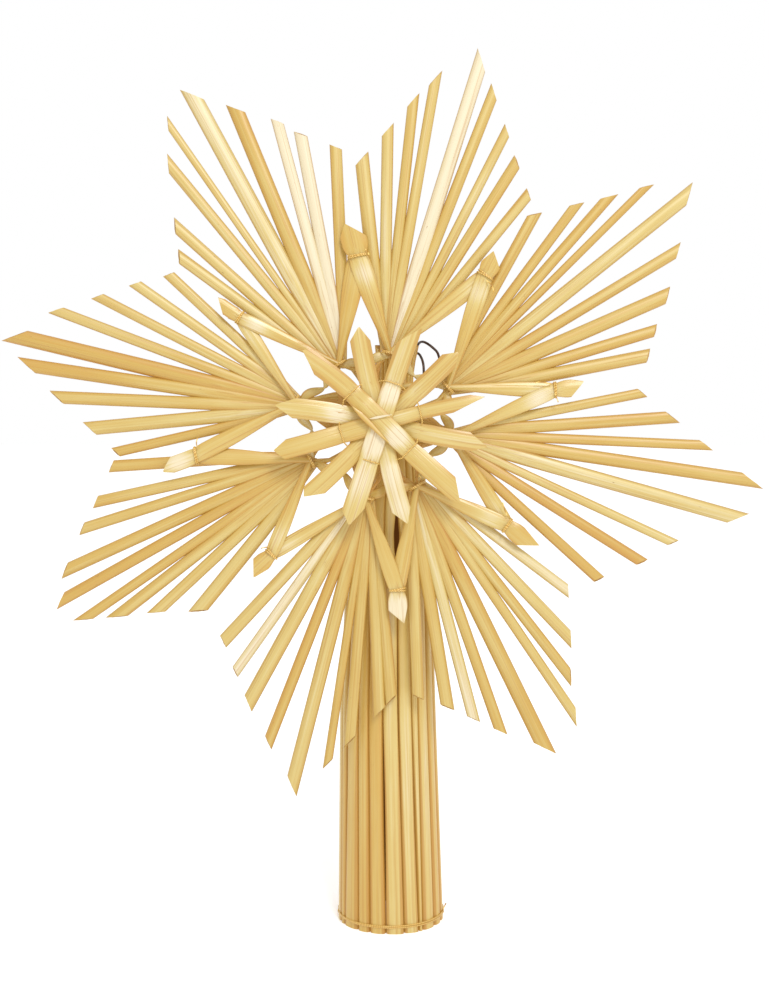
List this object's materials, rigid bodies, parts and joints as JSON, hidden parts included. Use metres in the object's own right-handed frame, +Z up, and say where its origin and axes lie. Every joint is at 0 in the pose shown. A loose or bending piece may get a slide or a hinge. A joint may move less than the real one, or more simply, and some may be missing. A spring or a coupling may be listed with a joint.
{
  "type": "straw tree-topper star",
  "caption": "Straw star tree topper: tied fans of slant-cut straws round a woven rosette, on a slim straw socket that slips over a tree's leader.",
  "frame": {"origin": "under the middle of the whole ornament, in the plane that the socket's foot stands on", "axes": "+Z up from the socket's foot to the star, -Y the way the star faces, +X to the right seen from in front"},
  "size_m": [0.295, 0.0464, 0.3412],
  "materials": {
    "fan_straw": "satin golden straw, some straws paler and some tan",
    "flat_straw": "flattened straw with a silky sheen along its fibres",
    "socket_straw": "pale yellow round straw, satin",
    "thread": "fine golden sewing thread with a slight shine",
    "wire": "dark lacquered soft iron wire"
  },
  "bodies": {
    "root": {"fan_1": "fan_straw", "fan_2": "fan_straw", "fan_3": "fan_straw", "fan_4": "fan_straw", "fan_5": "fan_straw", "fan_6": "fan_straw", "fan_7": "fan_straw", "fan_8": "fan_straw", "fan_tie_1": "thread", "fan_tie_2": "thread", "fan_tie_3": "thread", "fan_tie_4": "thread", "fan_tie_5": "thread", "fan_tie_6": "thread", "fan_tie_7": "thread", "fan_tie_8": "thread", "bridge_1_2": "flat_straw", "bridge_2_3": "flat_straw", "bridge_3_4": "flat_straw", "bridge_4_5": "flat_straw", "bridge_5_6": "flat_straw", "bridge_6_7": "flat_straw", "bridge_7_8": "flat_straw", "bridge_8_1": "flat_straw", "heart": "fan_straw", "rosette_strip_1": "flat_straw", "rosette_strip_2": "flat_straw", "rosette_strip_3": "flat_straw", "rosette_strip_4": "flat_straw", "rosette_strip_5": "flat_straw", "rosette_strip_6": "flat_straw", "rosette_thread": "thread", "socket_straw_01": "socket_straw", "socket_straw_02": "socket_straw", "socket_straw_03": "socket_straw", "socket_straw_04": "socket_straw", "socket_straw_05": "socket_straw", "socket_straw_06": "socket_straw", "socket_straw_07": "socket_straw", "socket_straw_08": "socket_straw", "socket_straw_09": "socket_straw", "socket_straw_10": "socket_straw", "socket_straw_11": "socket_straw", "socket_straw_12": "socket_straw", "socket_straw_13": "socket_straw", "socket_straw_14": "socket_straw", "socket_straw_15": "socket_straw", "socket_straw_16": "socket_straw", "socket_straw_17": "socket_straw", "socket_straw_18": "socket_straw", "socket_straw_19": "socket_straw", "socket_straw_20": "socket_straw", "socket_straw_21": "socket_straw", "socket_straw_22": "socket_straw", "socket_thread": "thread", "socket_hoop": "socket_straw", "binding_wire": "wire"}
  },
  "joints": []
}
